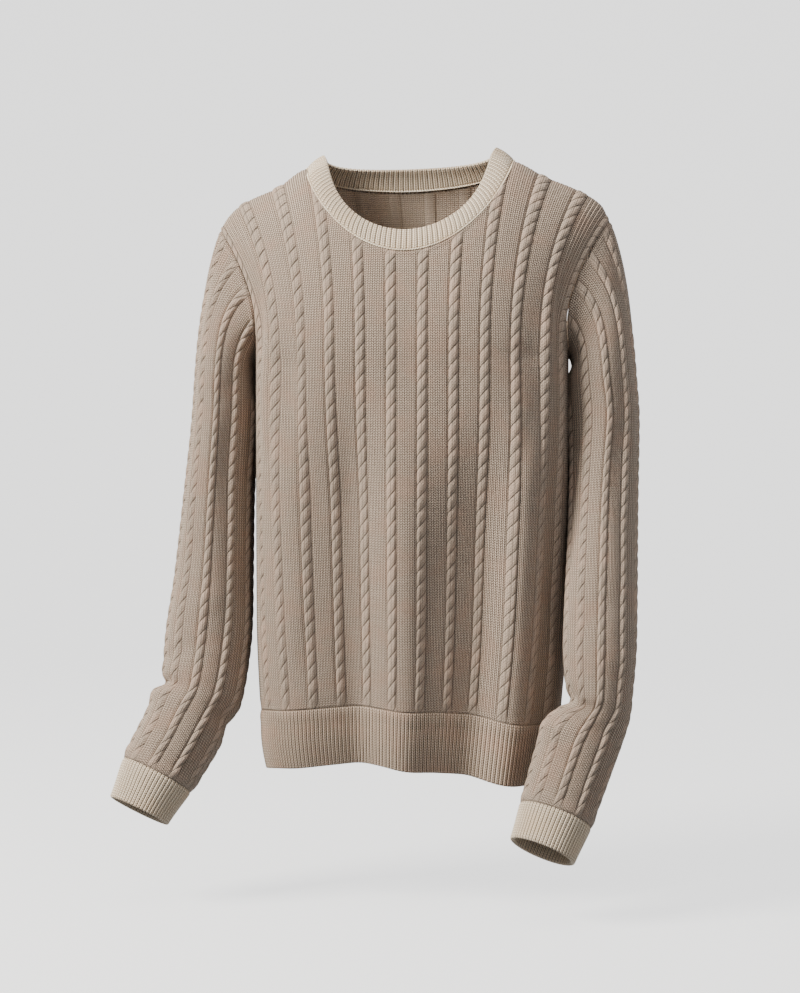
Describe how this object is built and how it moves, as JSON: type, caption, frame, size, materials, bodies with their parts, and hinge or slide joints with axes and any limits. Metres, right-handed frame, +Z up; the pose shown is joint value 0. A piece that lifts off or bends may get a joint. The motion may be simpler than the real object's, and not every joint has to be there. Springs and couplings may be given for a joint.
{
  "type": "cable knit sweater",
  "caption": "Crew neck cable knit sweater with long sleeves and ribbed hem, cuffs and neckband, filled out as worn with nobody in it.",
  "frame": {"origin": "midway between the two points where the neckband meets the shoulder seams, where the wearer's shoulders carry the garment", "axes": "+Z up, -Y out of the garment's front, +X to the wearer's left"},
  "size_m": [0.5212, 0.2435, 0.6953],
  "materials": {
    "main_yarn": "heathered taupe wool knit, soft and matt, rope cables on a fine wale ground",
    "trim_yarn": "cream wool knit in fine one by one rib, soft and matt"
  },
  "bodies": {
    "root": {"front": "main_yarn", "back": "main_yarn", "hem_front": "main_yarn", "hem_back": "main_yarn", "sleeve_right_upper": "main_yarn", "sleeve_right_lower": "main_yarn", "sleeve_left_upper": "main_yarn", "sleeve_left_lower": "main_yarn", "cuff_right": "trim_yarn", "cuff_left": "trim_yarn", "collar": "trim_yarn"}
  },
  "joints": []
}
